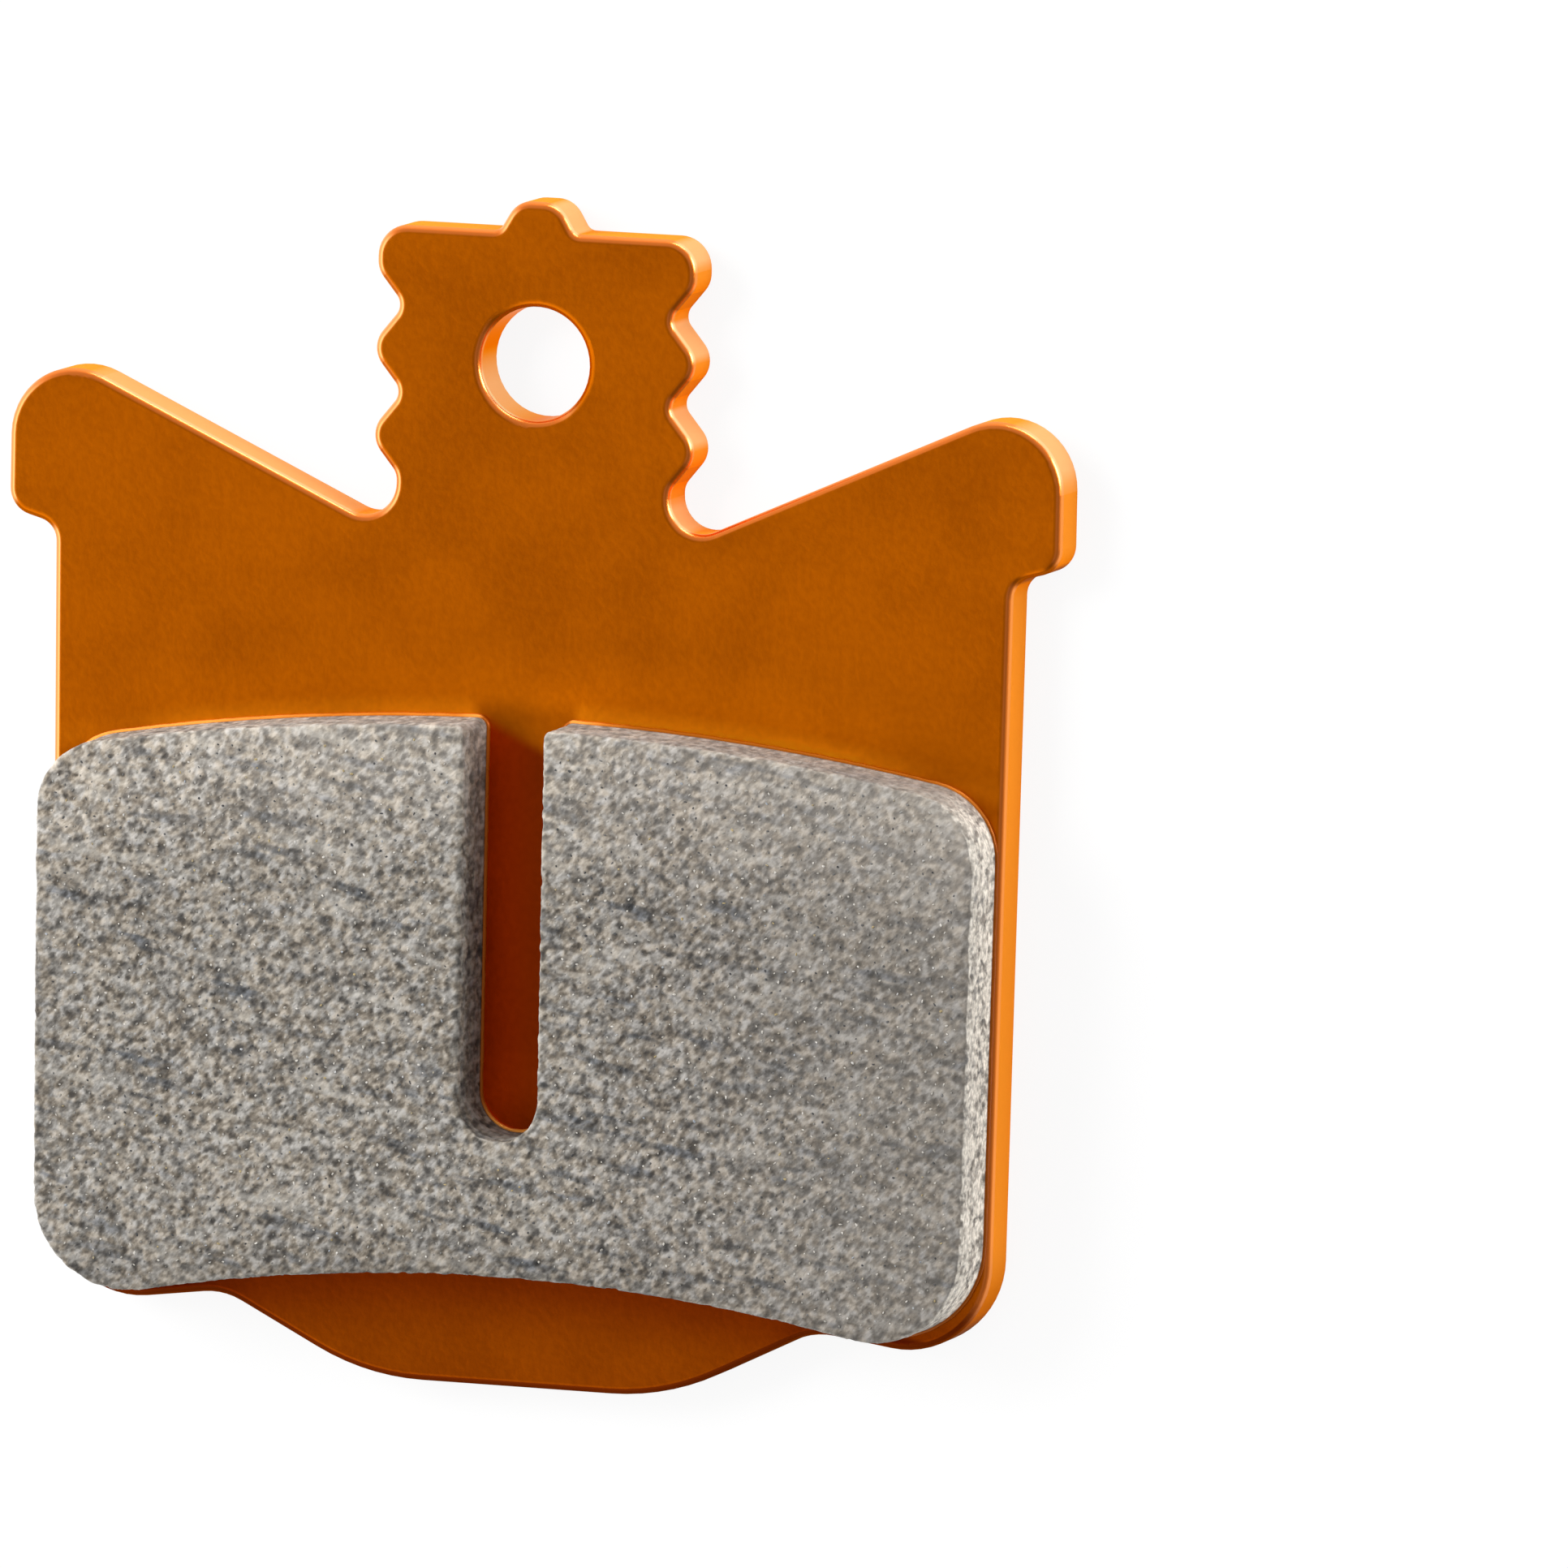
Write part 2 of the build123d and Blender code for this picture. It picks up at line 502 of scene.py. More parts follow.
@dataclass(frozen=True)
class CopperFinish:
    """Satin copper-coloured plate face with polished rolled edges, whose walls and rolls carry painted
    highlights and painted shade by the way that they face. The face has painted shade in the lining's slot,
    below the lining and at the lower corner, redder than the rest, and painted light above the lining.

    Spans in millimetres are places on the plate. The other spans are ranges of the normal's parts.
    """

    face_dark: Colour = (0.455, 0.095, 0.0006)
    face_light: Colour = (0.575, 0.131, 0.0009)
    # Rolls and lips are brighter than the face, partly as their polished finish and partly as painted light.
    # The left colours are painted highlights on edges that face left, lip_pale one on lips that face up and
    # right; the down colours are painted shade on edges that face down, and roll_foot painted shade on the
    # rolls along the bottom.
    roll: Colour = (0.97, 0.21, 0.005)
    roll_left: Colour = (1.0, 0.42, 0.11)
    roll_down: Colour = (0.50, 0.105, 0.001)
    roll_foot: Colour = (0.13, 0.017, 0.001)
    lip: Colour = (0.97, 0.29, 0.03)
    lip_left: Colour = (1.0, 0.70, 0.36)
    lip_down: Colour = (0.36, 0.074, 0.001)
    lip_pale: Colour = (1.0, 0.67, 0.29)
    # Painted shade on the walls towards the bottom. Below, the walls are coloured by the way that they face,
    # dark where they face down or left and pale where they face up and right: painted shade and painted
    # highlight.
    wall_foot: Colour = (0.30, 0.17, 0.2)
    wall_stops: Stops = (
        (0.0, (0.42, 0.085, 0.001)),
        (0.25, (0.98, 0.245, 0.002)),
        (0.78, (0.90, 0.28, 0.024)),
        (0.94, (0.92, 0.45, 0.18)),
    )
    # The pin's bore wall is painted brighter than the other walls, and palest where it faces up and right:
    # painted light.
    bore_stops: Stops = (
        (0.0, (0.94, 0.185, 0.001)),
        (0.60, (0.94, 0.185, 0.001)),
        (0.80, (0.96, 0.40, 0.16)),
        (0.97, (1.0, 0.54, 0.29)),
    )
    edge_tint: Colour = (1.0, 0.60, 0.25)
    # Painted shade in the lining's slot, redder than the face: darkest towards its right side, lighter
    # towards its left side and towards its bottom end.
    slot_near: Colour = (1.20, 0.41, 1.0)
    slot_far: Colour = (0.44, 0.21, 1.0)
    slot_end: Colour = (1.40, 1.50, 1.0)
    # Painted light on the face above the lining's top edge.
    crown_far: Colour = (1.68, 1.76, 1.0)
    crown_near: Colour = (1.40, 1.75, 6.0)
    # Painted shade on the face below the lining and at the lower corner, redder than the face.
    foot_shade: Colour = (0.40, 0.22, 1.0)
    corner_shade: Colour = (0.52, 0.36, 1.0)
    cloud: Speckle = Speckle(3.5 * MM, 3.0, span=(0.3, 0.7))
    fleck: Speckle = Speckle(0.30 * MM, seed=3.0, span=(0.25, 0.75))
    shear: Speckle = Speckle(0.25 * MM, seed=7.0, squeeze=(1.0, 1.0, 0.06))
    cloud_share: float = 0.55
    pin_height: float = 15.665 * MM
    bore_edge: Span = mm_span(2.45, 2.55)
    slot_side: Span = mm_span(1.5, 1.7)
    slot_mouth: Span = mm_span(1.65, 2.35)
    slot_slant: float = 0.45
    slot_floor: Span = mm_span(-14.0, -13.5)
    slot_shade: Span = mm_span(-1.7, 0.8)
    slot_ease: Span = mm_span(-12.0, -8.5)
    foot_start: Span = mm_span(-17.2, -16.9)
    foot_fade: Span = mm_span(-20.2, -17.2)
    foot_far: float = 0.6
    crown_height: float = 2.815 * MM
    crown_start: Span = mm_span(-0.5, 0.1)
    crown_ends: Span = mm_span(12.5, 16.0)
    crown_loss: float = 0.75
    beside_slot: Span = mm_span(1.6, 2.2)
    mouth_glow: Span = mm_span(0.0, 1.0)
    right_half: Span = mm_span(-4.0, 6.0)
    far_fade: Span = mm_span(-1.0, 3.2)
    far_left: float = 0.72
    near_fade: Span = mm_span(0.0, 0.9)
    near_left: float = 0.8
    corner_across: Span = mm_span(9.0, 13.0)
    corner_along: Span = mm_span(-19.0, -15.5)
    wall_fade: Span = mm_span(-20.5, -14.5)
    roll_fade: Span = mm_span(-17.5, -15.0)
    pale_way: float = math.radians(40.0)
    pale_facing: Span = (0.77, 0.95)
    left_facing: Span = (-0.9, -0.4)
    down_facing: Span = (-0.82, -0.27)
    foot_facing: Span = (-0.75, -0.20)
    up_facing: Span = (0.5, 0.9)
    up_share: float = 0.7
    wall_range: Span = (0.05, 0.30)
    lip_range: Span = (0.50, 0.75)
    roll_range: Span = (0.90, 0.99)
    wide_range: Span = (0.95, 0.997)
    face_roughness: float = 0.43
    cloud_roughness: float = 0.06
    roll_roughness: float = 0.28
    wall_roughness: float = 0.30
    matt_share: float = 0.8
    coat_share: float = 0.5
    coat_ior: float = 1.7
    coat_roughness: float = 0.14
    relief: float = 0.004 * MM

    def face_colour(self, paint: Paint, mottle: Wire) -> Wire:
        """Colour of the flat faces, with painted shade in the lining's slot, below the lining and at the
        lower corner, redder than the rest, and painted light above the lining.

        Args:
            paint: The material in the making.
            mottle: Share of the lighter colour, from 0 to 1.

        Returns:
            The colour.
        """
        across, along, _ = paint.place
        # Painted shade in the slot; its slanted mouth is the edge of a painted shadow.
        mouth = (along + across * self.slot_slant).fall(*self.slot_mouth)
        slot = abs(across).fall(*self.slot_side) * mouth * along.step(*self.slot_floor)
        slot_shade_tint = paint.mix(across.step(*self.slot_shade), self.slot_near, self.slot_far)
        eased = paint.mix(along.fall(*self.slot_ease), slot_shade_tint, self.slot_end, "MULTIPLY")
        # Painted shade below the lining.
        foot = arc_height(across, along, FOOT_RADIUS)
        below = foot.fall(*self.foot_start) * foot.step(*self.foot_fade).between(self.foot_far, 1.0)
        # Painted light above the lining's top edge, fading towards its ends and weaker on the left.
        above = arc_height(across, along, CROWN_RADIUS) - self.crown_height
        crown = above.step(*self.crown_start) * (1.0 - abs(across).step(*self.crown_ends) * self.crown_loss)
        beside = abs(across).step(*self.beside_slot)
        glow = beside + (1.0 - beside) * above.step(*self.mouth_glow)
        right = across.step(*self.right_half)
        far = crown * glow * above.fall(*self.far_fade) * right.between(self.far_left, 1.0)
        near = crown * beside * above.fall(*self.near_fade) * right.between(self.near_left, 1.0)
        plain = paint.mix(mottle, self.face_dark, self.face_light)
        lit = paint.mix(far, plain, self.crown_far, "MULTIPLY")
        tinted = paint.mix(slot, paint.mix(near, lit, self.crown_near, "MULTIPLY"), eased, "MULTIPLY")
        shaded_below = paint.mix(below, tinted, self.foot_shade, "MULTIPLY")
        # Painted shade at the lower corner.
        corner = abs(across).step(*self.corner_across) * along.fall(*self.corner_along)
        return paint.mix(corner, shaded_below, self.corner_shade, "MULTIPLY")

    def bare_edges(self, paint: Paint, wall: Wire, bore: Wire) -> BareEdges:
        """Colours of the rolled edges and of what lies below them, by the way that they face: painted
        highlights where they face left or up and right, painted shade where they face down and low on the
        plate.

        Args:
            paint: The material in the making.
            wall: 1 on the walls, 0 on the faces.
            bore: 1 in the pin's bore, 0 elsewhere.

        Returns:
            The colour of the rolls, that of the lips and the walls, and the shares.
        """
        right, ahead, _ = paint.facing
        flat = paint.node("ShaderNodeCombineXYZ", None, {"X": right, "Y": ahead}).out()
        side, rise, _ = paint.parts(paint.vector("NORMALIZE", flat, (0.0, 0.0, 0.0)))
        along = paint.place[1]
        facing = side * math.cos(self.pale_way) + rise * math.sin(self.pale_way)
        # Edges that face left get painted highlights, but painted shade in the bore; edges that face down,
        # and rolls low on the plate, get painted shade; wide widens the painted highlight on edges that face
        # left or up.
        left = side.fall(*self.left_facing)
        dark = (rise.fall(*self.down_facing) + bore * left).step(0.0, 1.0)
        foot = rise.fall(*self.foot_facing) * along.fall(*self.roll_fade)
        wide = (left + rise.step(*self.up_facing) * self.up_share).cap(1.0) * (1.0 - dark)
        plain = paint.mix(facing.step(*self.pale_facing), self.lip, self.lip_pale)
        lips = paint.mix(dark, paint.mix(left, plain, self.lip_left), self.lip_down)
        bright = paint.mix(left, self.roll, self.roll_left)
        rolls = paint.mix(foot, paint.mix(dark, bright, self.roll_down), self.roll_foot)
        # Walls coloured by the way that they face, with painted shade and painted highlights, the bore
        # painted brighter, and painted shade towards the bottom.
        walls = paint.mix(bore, paint.ramp(self.wall_stops, facing), paint.ramp(self.bore_stops, facing))
        bare = paint.mix(wall, lips, walls)
        sheared = paint.mix(along.fall(*self.wall_fade), bare, self.wall_foot, "MULTIPLY")
        return BareEdges(rolls, sheared, dark, wide, foot)

    def bore_share(self, paint: Paint) -> Wire:
        """1 in the pin's bore and on its rolled edge, 0 elsewhere."""
        across, above = paint.place[0], paint.place[1] - self.pin_height
        return ((across * across + above * above) ** 0.5).fall(*self.bore_edge)

    def material(self) -> Material:
        """Makes the material: the normal tells faces, rolls and walls apart, and noise clouds the faces.

        Returns:
            The material.
        """
        paint = Paint("copper_plate_satin")
        upright = abs(paint.facing[2])
        wall, lip = upright.fall(*self.wall_range), upright.fall(*self.lip_range)
        cloud, fleck = paint.speckle(self.cloud), paint.speckle(self.fleck)
        mottle = cloud * self.cloud_share + fleck * (1.0 - self.cloud_share)
        bore = self.bore_share(paint)
        rolls, sheared, dark, wide, foot = self.bare_edges(paint, wall, bore)
        narrow = upright.step(*self.roll_range)
        edge = 1.0 - narrow + (narrow - upright.step(*self.wide_range)) * (wide + foot).cap(1.0)
        rolled = paint.mix(edge, self.face_colour(paint, mottle), rolls)
        # Walls, and the edges in painted shade, are made less metallic.
        matt = wall * (1.0 - bore) + (lip - wall) * dark + (edge - lip) * foot
        height = fleck * (1.0 - edge) + paint.speckle(self.shear) * wall
        satin = self.face_roughness + (cloud - 0.5) * self.cloud_roughness
        polished = satin * (1.0 - edge) + self.roll_roughness * edge
        return paint.finish(
            {
                "Base Color": paint.mix(lip, rolled, sheared),
                "Metallic": 1.0 - matt * self.matt_share,
                "Specular IOR Level": 0.0,
                "Specular Tint": (*self.edge_tint, 1.0),
                "Roughness": polished * (1.0 - wall) + self.wall_roughness * wall,
                "Coat Weight": (edge - wall) * (1.0 - dark) * self.coat_share,
                "Coat IOR": self.coat_ior,
                "Coat Roughness": self.coat_roughness,
                "Normal": paint.bump(height, self.relief),
            }
        )


@dataclass(frozen=True)
class BondFinish:
    """Copper rim where the bond has flowed out under the lining, with painted highlights and painted shade.
    Its spans are places on it.
    """

    # Dull to bright: random patches, and painted highlights at the left end, beside the slot's mouth and
    # near the slot's bottom end.
    dull: Colour = (0.66, 0.17, 0.008)
    bright: Colour = (1.0, 0.37, 0.06)
    # Painted shade: over the rim's right half, darker along the far right, and in the slot.
    plain: Colour = (0.38, 0.095, 0.002)
    shady: Colour = (0.30, 0.066, 0.001)
    sunk: Colour = (0.40, 0.092, 0.003)
    patch: Speckle = Speckle(1.2 * MM, span=(0.35, 0.60))
    grit: Speckle = Speckle(0.12 * MM, seed=4.0)
    left_end: Span = mm_span(-13.0, -8.0)
    mouth_side: Span = mm_span(1.9, 3.0)
    mouth_height: Span = mm_span(1.5, 2.5)
    hollow_foot: Span = mm_span(-15.0, -14.0)
    hollow_top: Span = mm_span(-11.6, -10.4)
    highlight_share: float = 0.8
    patch_share: float = 0.35
    bond_shade_start: Span = mm_span(2.4, 4.5)
    bond_shade_end: Span = mm_span(15.0, 16.5)
    bond_shade_loss: float = 0.5
    slot_side: Span = mm_span(1.6, 1.8)
    slot_end: Span = mm_span(-12.0, -11.0)
    shady_side: Span = mm_span(16.5, 18.5)
    shady_slant: float = 0.5
    metallic: float = 0.35
    specular: float = 0.2
    roughness: float = 0.34
    patch_gloss: float = 0.1
    relief: float = 0.01 * MM

    def material(self) -> Material:
        """Makes the material, patchy along the rim, with painted highlights at its left end and by the slot
        and painted shade on the right and in the slot.

        Returns:
            The material.
        """
        paint = Paint("bond_rim_copper")
        across, along, _ = paint.place
        patch = paint.speckle(self.patch)
        # Painted highlights at the left end, beside the slot's mouth and near the slot's bottom end, with
        # random patches.
        hollow = along.fall(*self.hollow_top) * along.step(*self.hollow_foot)
        mouth = abs(across).fall(*self.mouth_side) * (along.step(*self.mouth_height) + hollow)
        highlights_and_patches = (across.fall(*self.left_end) + mouth) * self.highlight_share + patch * self.patch_share
        highlighted_rim = paint.mix(highlights_and_patches, self.dull, self.bright)
        # Painted shade over the rim's right half, less towards its right end, and in the slot.
        smooth = across.step(*self.bond_shade_start) * (1.0 - across.step(*self.bond_shade_end) * self.bond_shade_loss)
        in_slot = abs(across).fall(*self.slot_side) * along.step(*self.slot_end)
        duller = paint.mix(in_slot, paint.mix(smooth, highlighted_rim, self.plain), self.sunk)
        # Darker painted shade along the far right.
        right = (across - along * self.shady_slant).step(*self.shady_side)
        return paint.finish(
            {
                "Base Color": paint.mix(right, duller, self.shady),
                "Metallic": self.metallic,
                "Roughness": self.roughness - patch * self.patch_gloss,
                "Specular IOR Level": self.specular,
                "Normal": paint.bump(paint.speckle(self.grit), self.relief),
            }
        )


@dataclass(frozen=True)
class SinterFinish:
    """Grey sintered matrix: fine grain with a lie to it, smudged in bands, with painted light towards the
    crown, painted shade over the right and along the foot, and walls that face right painted pale, with
    wear and a painted highlight.

    Spans in millimetres are places on the lining. The other spans are ranges of noise or of the normal.
    """

    grey_stops: Stops = (
        (0.0, (0.048, 0.042, 0.036)),
        (0.3, (0.128, 0.113, 0.095)),
        (0.58, (0.213, 0.193, 0.166)),
        (1.0, (0.394, 0.364, 0.326)),
    )
    mean: Colour = (0.190, 0.173, 0.150)
    # Painted light towards the crown: a gain, and a lighter grey mixed in.
    crown_light: Colour = (0.385, 0.353, 0.310)
    crown_light_gain: Colour = (1.40, 1.385, 1.37)
    warm: Colour = (0.57, 0.50, 0.40)
    cool: Colour = (0.44, 0.50, 0.58)
    # Painted shade along the foot.
    shaded: Colour = (0.80, 0.79, 0.78)
    # Painted shade over the right.
    right_shade: Colour = (0.91, 0.905, 0.91)
    sooty: Colour = (0.44, 0.48, 0.555)
    chalky: Colour = (0.440, 0.415, 0.370)
    # Pale walls that face right: wear, and a painted highlight.
    rubbed_and_lit_low: Colour = (0.500, 0.455, 0.390)
    rubbed_and_lit: Colour = (1.0, 0.93, 0.82)
    lie: float = math.radians(42.0)
    sweep: float = math.radians(-10.0)
    grain: Speckle = Speckle(0.19 * MM, 2.5, 2.0, (0.6, 1.0, 0.35))
    fine_grain: Speckle = Speckle(0.12 * MM, 2.0, 6.0, (0.6, 1.0, 0.35))
    speck: Speckle = Speckle(0.36 * MM, 1.0, 12.0, span=(0.36, 0.64))
    streak: Speckle = Speckle(0.55 * MM, 3.0, 5.0, (0.16, 1.0, 1.0))
    patch: Speckle = Speckle(2.6 * MM, 2.0, 9.0, (0.45, 1.0, 1.0), (0.35, 0.60))
    tone: Speckle = Speckle(0.16 * MM, 2.0, 14.0, (1.0, 0.8, 1.0), (0.30, 0.70))
    scrape: Speckle = Speckle(0.22 * MM, 3.0, 8.0, (1.0, 0.75, 0.6), (0.32, 0.60))
    relief_share: float = 0.25
    level_range: Span = (0.27, 0.73)
    metal_share: float = 0.42
    soot_range: Span = (0.34, 0.48)
    chalk_range: Span = (0.54, 0.68)
    chalk_share: float = 0.42
    chalk_loss: float = 0.4
    even_side: Span = mm_span(4.0, 18.0)
    even_share: float = 0.35
    right_shade_side: Span = mm_span(1.0, 7.0)
    light_height: Span = mm_span(-3.7, 2.8)
    light_right: Span = mm_span(0.0, 6.0)
    light_loss: float = 0.2
    light_left: Span = mm_span(-17.0, -6.0)
    light_share: float = 0.25
    dim_height: Span = mm_span(-17.2, -14.4)
    dim_right: Span = mm_span(2.0, 8.0)
    dim_loss: float = 0.7
    rim_range: Span = (0.70, 0.97)
    right_facing: Span = (0.25, 0.80)
    outer_side: Span = mm_span(3.0, 5.0)
    rubbed_and_lit_height: Span = mm_span(2.2, 4.2)
    rubbed_and_lit_top: float = 0.80
    scuffed: float = 0.14
    roughness: float = 0.80
    grain_gloss: float = 0.20
    fine_share: float = 0.4
    relief: float = 0.09 * MM

    def streaked(self, paint: Paint, grey: Wire) -> Wire:
        """The grain's colour with dark and pale streaks swept across it, in patches.

        Args:
            paint: The material in the making.
            grey: Colour of the grain.

        Returns:
            The colour.
        """
        swept = paint.turned(self.sweep)
        streak, patch = paint.speckle(self.streak, swept), paint.speckle(self.patch, swept)
        soot = streak.fall(*self.soot_range) * patch
        chalk = streak.step(*self.chalk_range) * (1.0 - patch * self.chalk_loss)
        sooted = paint.mix(soot, grey, self.sooty, "MULTIPLY")
        return paint.mix(chalk * self.chalk_share, sooted, self.chalky)

    def banded(self, paint: Paint, grey: Wire) -> Wire:
        """The streaked colour, evener on the right, with painted shade over the right, painted light towards
        the crown and painted shade along the foot.

        Args:
            paint: The material in the making.
            grey: Colour of the streaked grain.

        Returns:
            The colour.
        """
        across, along, _ = paint.place
        even = paint.mix(across.step(*self.even_side) * self.even_share, grey, self.mean)
        # Painted shade over the right.
        away = paint.mix(across.step(*self.right_shade_side), even, self.right_shade, "MULTIPLY")
        # Painted light towards the crown, less on the right, with a lighter grey mixed in except at the left
        # end.
        crown = arc_height(across, along, CROWN_RADIUS)
        top_light = crown.step(*self.light_height) * (1.0 - across.step(*self.light_right) * self.light_loss)
        gained = paint.mix(top_light, away, self.crown_light_gain, "MULTIPLY")
        top_lit = paint.mix(top_light * across.step(*self.light_left) * self.light_share, gained, self.crown_light)
        # Painted shade along the foot, less on the right.
        foot = arc_height(across, along, FOOT_RADIUS)
        dim = foot.fall(*self.dim_height) * (1.0 - across.step(*self.dim_right) * self.dim_loss)
        return paint.mix(dim, top_lit, self.shaded, "MULTIPLY")

    def rubbed_and_lit_share(self, paint: Paint) -> Wire:
        """How far the walls are painted pale: raggedly on the outer walls that face right, with wear and a
        painted highlight, more towards the foot, and a little elsewhere, with wear.

        Args:
            paint: The material in the making.

        Returns:
            The share from 0 to 1.
        """
        across, _, height = paint.place
        side, _, rise = paint.facing
        # Walls that face right get a painted highlight along with their wear.
        right = side.step(*self.right_facing)
        low = height.fall(*self.rubbed_and_lit_height)
        worn = right * abs(across).step(*self.outer_side) * low.between(self.rubbed_and_lit_top, 1.0)
        ragged = abs(rise).fall(*self.rim_range) * paint.speckle(self.scrape)
        return ragged * (worn + (1.0 - right) * self.scuffed)

    def material(self) -> Material:
        """Makes the material from drawn-out grain, specks of other metals, streaks and the mesh's relief.

        Returns:
            The material.
        """
        paint = Paint("sintered_matrix")
        turned = paint.turned(self.lie)
        grain, fine = paint.speckle(self.grain, turned), paint.speckle(self.fine_grain, turned)
        # A share of the colour follows the mesh's relief, darker in its pits: painted shade.
        mixed = grain * (1.0 - self.relief_share) + paint.attribute("relief") * self.relief_share
        level = mixed.step(*self.level_range)
        metals = paint.mix(paint.speckle(self.speck), self.cool, self.warm)
        tinted = paint.mix(self.metal_share, paint.ramp(self.grey_stops, level), metals, "SOFT_LIGHT")
        banded = self.banded(paint, self.streaked(paint, tinted))
        bared_and_lit = paint.mix(paint.speckle(self.tone), self.rubbed_and_lit_low, self.rubbed_and_lit)
        height = fine * self.fine_share + grain * (1.0 - self.fine_share)
        return paint.finish(
            {
                "Base Color": paint.mix(self.rubbed_and_lit_share(paint), banded, bared_and_lit),
                "Metallic": 0.0,
                "Roughness": self.roughness - level * self.grain_gloss,
                "Normal": paint.bump(height, self.relief),
            }
        )


@dataclass(frozen=True)
class GrainFinish:
    """Chips in the matrix: graphite, iron, pale ceramic and a few of bronze."""

    stops: Stops = (
        (0.0, (0.030, 0.030, 0.032)),
        (0.16, (0.110, 0.108, 0.104)),
        (0.45, (0.240, 0.225, 0.200)),
        (0.72, (0.420, 0.395, 0.350)),
        (0.90, (0.640, 0.610, 0.560)),
        (0.955, (0.300, 0.330, 0.370)),
        (0.985, (0.420, 0.330, 0.170)),
    )
    metal_range: Span = (0.55, 0.9)
    metal_share: float = 0.5
    roughness: float = 0.62
    gloss: float = 0.22

    def material(self) -> Material:
        """Makes the material: each chip's own number picks its colour and gloss.

        Returns:
            The material.
        """
        paint = Paint("sintered_grains")
        tint = paint.attribute("tint")
        return paint.finish(
            {
                "Base Color": paint.ramp(self.stops, tint),
                "Metallic": tint.step(*self.metal_range) * self.metal_share,
                "Roughness": self.roughness - tint * self.gloss,
            }
        )


@dataclass(frozen=True)
class FloorFinish:
    """White table that keeps a faint shadow."""

    white: Colour = (0.9, 0.9, 0.9)
    glow: Colour = (1.0, 1.0, 1.0)
    glow_share: float = 0.90

    def material(self) -> Material:
        """Makes the material: the camera and reflections see white, with a share of the real shading.

        Returns:
            The material.
        """
        paint = Paint("white_table")
        rays = paint.node("ShaderNodeLightPath")
        seen = rays.out("Is Camera Ray") + rays.out("Is Glossy Ray") + rays.out("Is Transmission Ray")
        share = seen.step(0.0, 1.0) * self.glow_share
        matt = paint.node("ShaderNodeBsdfDiffuse", None, {"Color": (*self.white, 1.0)}).out()
        glow = paint.node("ShaderNodeEmission", None, {"Color": (*self.glow, 1.0)}).out()
        return paint.surface(paint.node("ShaderNodeMixShader", None, {0: share, 1: matt, 2: glow}).out())


def make_piece(name: str, mesh: Mesh, replaced: Optional[CadNode]) -> Object:
    """Puts a finished mesh into the scene as a piece of the pad.

    Args:
        name: Name of the piece.
        mesh: Its mesh, with its place in its vertices.
        replaced: The CAD node that it stands for, if it does.

    Returns:
        The piece, riding on the pad's body.
    """
    piece = bpy.data.objects.new(name, mesh)
    show(piece)
    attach(piece, BODY)
    if replaced is not None:
        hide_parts(replaced.value)
    LOG.info("%s: %d faces", name, len(mesh.polygons))
    return piece


def foot_outline(node: CadNode, spacing: float) -> np.ndarray:
    """Reads the outline of a CAD node's foot and spaces its points evenly.

    Args:
        node: A node with one flat foot and upright walls.
        spacing: Distance between points along the outline.

    Returns:
        Points (n, 2) of the closed outline, anticlockwise.
    """
    work = bmesh.new()
    work.from_mesh(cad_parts[node.value].data)
    bmesh.ops.remove_doubles(work, verts=work.verts, dist=WELD_DISTANCE)
    after: Dict[int, List[int]] = {}
    for edge in work.edges:
        downs = [face.normal.z < DOWNWARD_Z for face in edge.link_faces]
        if sorted(downs) == [False, True]:
            first, second = (v.index for v in edge.verts)
            after.setdefault(first, []).append(second)
            after.setdefault(second, []).append(first)
    work.verts.ensure_lookup_table()
    start = next(iter(after))
    chain = [start, after[start][0]]
    while chain[-1] != start:
        step = [v for v in after[chain[-1]] if v != chain[-2]]
        chain.append(step[0])
    corners = np.array([work.verts[i].co.xy for i in chain])
    work.free()
    turn = np.sum(corners[:-1, 0] * corners[1:, 1] - corners[1:, 0] * corners[:-1, 1])
    if turn < 0:
        corners = corners[::-1]
    lengths = np.r_[0.0, np.cumsum(np.linalg.norm(np.diff(corners, axis=0), axis=1))]
    count = round(lengths[-1] / spacing)
    places = np.linspace(0.0, lengths[-1], count, endpoint=False)
    return np.column_stack([np.interp(places, lengths, corners[:, axis]) for axis in (0, 1)])


